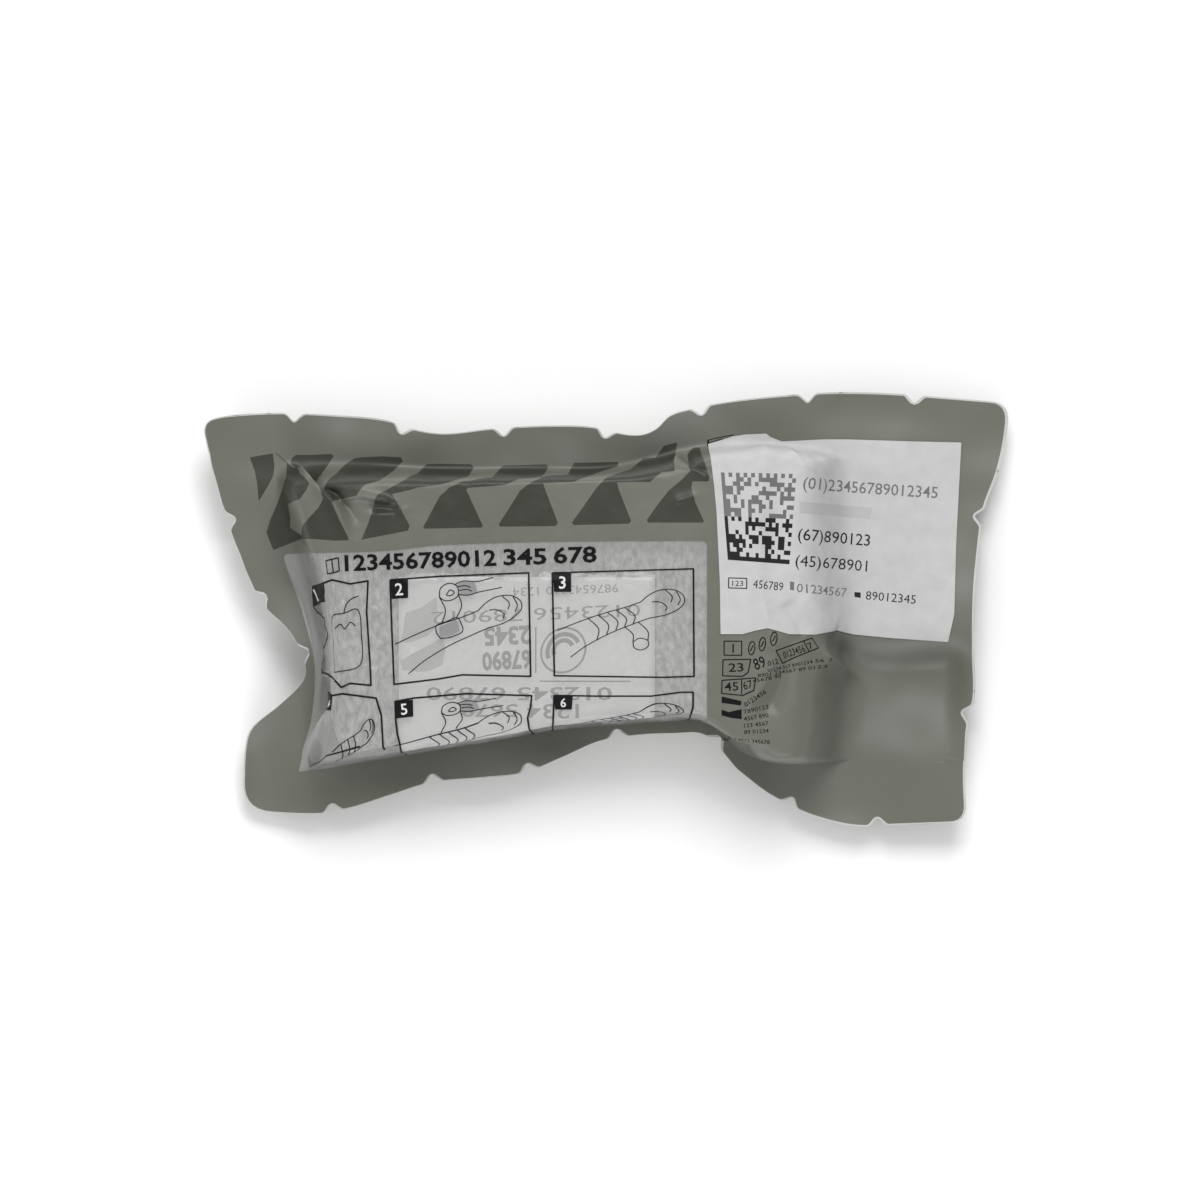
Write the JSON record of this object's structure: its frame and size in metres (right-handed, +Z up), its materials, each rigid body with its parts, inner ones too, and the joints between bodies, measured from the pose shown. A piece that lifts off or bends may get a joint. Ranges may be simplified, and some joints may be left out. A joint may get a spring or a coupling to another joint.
{
  "type": "emergency trauma bandage in a vacuum-sealed pouch",
  "caption": "Elastic trauma bandage with a dressing pad, vacuum-packed in a notched heat-sealed film pouch with a clear window and a paper label.",
  "frame": {"origin": "on the surface that the pack lies on, under the middle of the pouch's outline", "axes": "+X along the pouch from the bandage towards the labelled end, +Y towards the long side with the dark bars, +Z up out of the window"},
  "size_m": [0.1896, 0.1024, 0.0326],
  "materials": {
    "printed_film": "satin grey-green packing film with darker print",
    "back_film": "satin grey-green packing film",
    "clear_film": "clear glossy film with fine creases and black line print",
    "label_paper": "matt white self-adhesive paper",
    "elastic_bandage": "crinkled elastic weave",
    "pad_cloth": "smooth white dressing cloth with faint print"
  },
  "bodies": {
    "root": {"pouch_back_film": "back_film", "pouch_front_film": "printed_film", "window_film": "clear_film", "paper_label": "label_paper", "bandage_roll": "elastic_bandage", "dressing_pad": "pad_cloth"}
  },
  "joints": []
}
